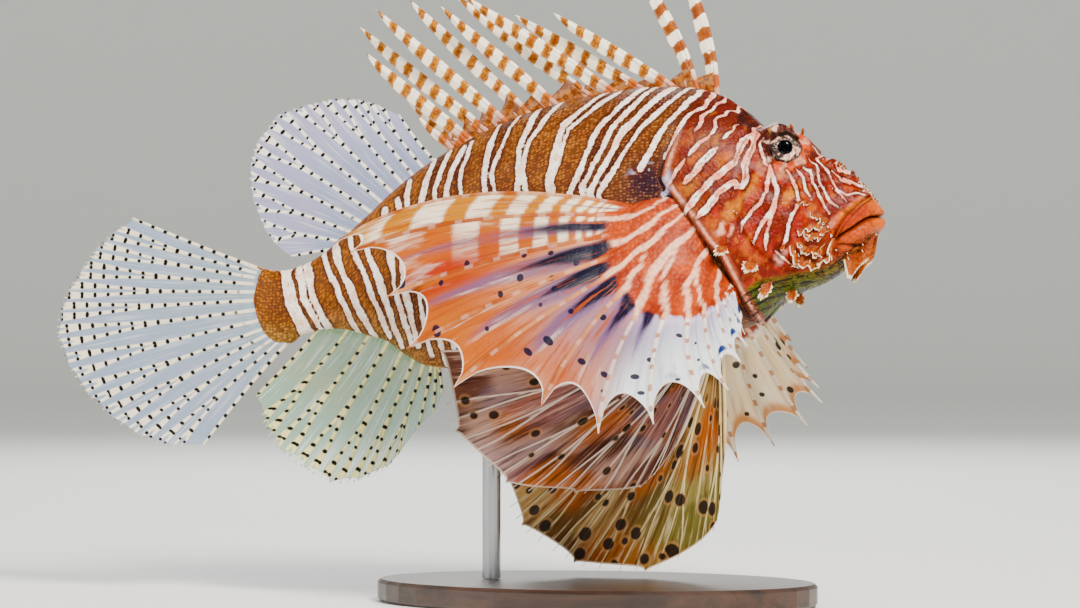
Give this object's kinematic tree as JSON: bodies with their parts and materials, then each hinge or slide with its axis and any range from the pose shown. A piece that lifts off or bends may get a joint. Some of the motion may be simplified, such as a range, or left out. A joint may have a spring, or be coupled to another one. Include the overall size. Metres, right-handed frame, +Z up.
{
  "type": "red lionfish display model",
  "caption": "Life-size red lionfish with fanned fins and raised back spines, hovering still on a plain oval base and a short rod.",
  "frame": {"origin": "centre of the base's underside", "axes": "+X to the snout, +Y to the fish's left, +Z up"},
  "size_m": [0.3004, 0.1613, 0.2226],
  "materials": {
    "skin": "satin skin, red-brown bands parted by thin white lines",
    "eye": "wet gloss, black pupil in a mottled pale ring",
    "fin_spines": "white spines and banners with golden-brown bands",
    "fin_clear": "thin clear skin between cream rays with black dots",
    "fin_pectoral": "orange and white skin with small dark blue spots",
    "fin_pelvic": "brown skin with fine pale rays and dark spots",
    "stand_base": "dark stained, satin",
    "stand_rod": "brushed"
  },
  "bodies": {
    "root": {"head": "skin", "lower_jaw": "skin", "torso": "skin", "tail": "skin", "eye_right": "eye", "eye_left": "eye", "dorsal_fin_spines": "fin_spines", "caudal_fin": "fin_clear", "dorsal_fin_soft": "fin_clear", "anal_fin": "fin_clear", "pectoral_fin_right": "fin_pectoral", "pectoral_fin_left": "fin_pectoral", "pelvic_fin_right": "fin_pelvic", "pelvic_fin_left": "fin_pelvic", "stand_base": "stand_base", "stand_rod": "stand_rod"}
  },
  "joints": []
}
